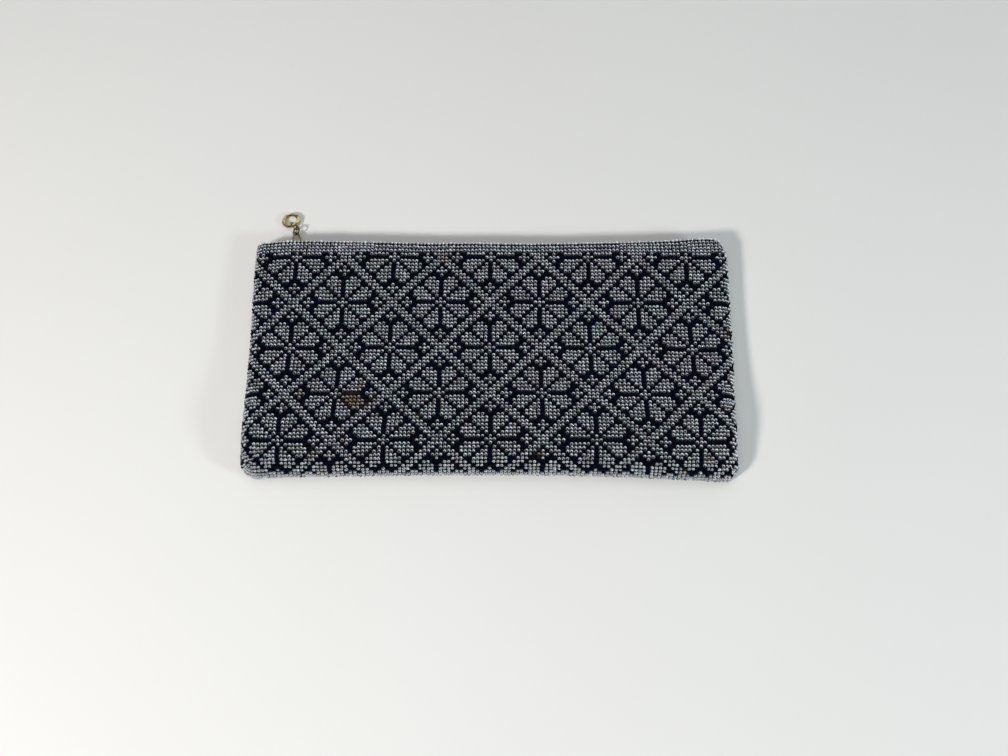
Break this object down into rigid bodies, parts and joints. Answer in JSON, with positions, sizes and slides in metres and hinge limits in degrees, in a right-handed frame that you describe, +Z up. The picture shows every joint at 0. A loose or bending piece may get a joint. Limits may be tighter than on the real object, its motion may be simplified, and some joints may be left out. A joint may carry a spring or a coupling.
{
  "type": "beaded clutch",
  "caption": "Flat rectangular zip clutch of seed-bead cloth in a silver and navy flower lattice, with a round ring pull, lying on its back.",
  "frame": {"origin": "on the flat resting face under the back, below the flower at the middle of the front", "axes": "+X along the zip with the pull at the -X end, +Y from the bottom fold to the mouth, +Z up through the front face"},
  "size_m": [0.2244, 0.1362, 0.0171],
  "materials": {
    "beads": "glossy glass seed beads on cloth",
    "zip_tape": "woven tape",
    "zip_brass": "aged",
    "pull_brass": "polished"
  },
  "bodies": {
    "root": {"beaded_shell": "beads", "zip_tape_front": "zip_tape", "zip_tape_back": "zip_tape", "zip_teeth_front": "zip_brass", "zip_teeth_back": "zip_brass", "zip_slider": "zip_brass", "pull_bail": "pull_brass", "link_ring_near": "pull_brass", "link_ring_far": "pull_brass", "pull_ring": "pull_brass"}
  },
  "joints": []
}
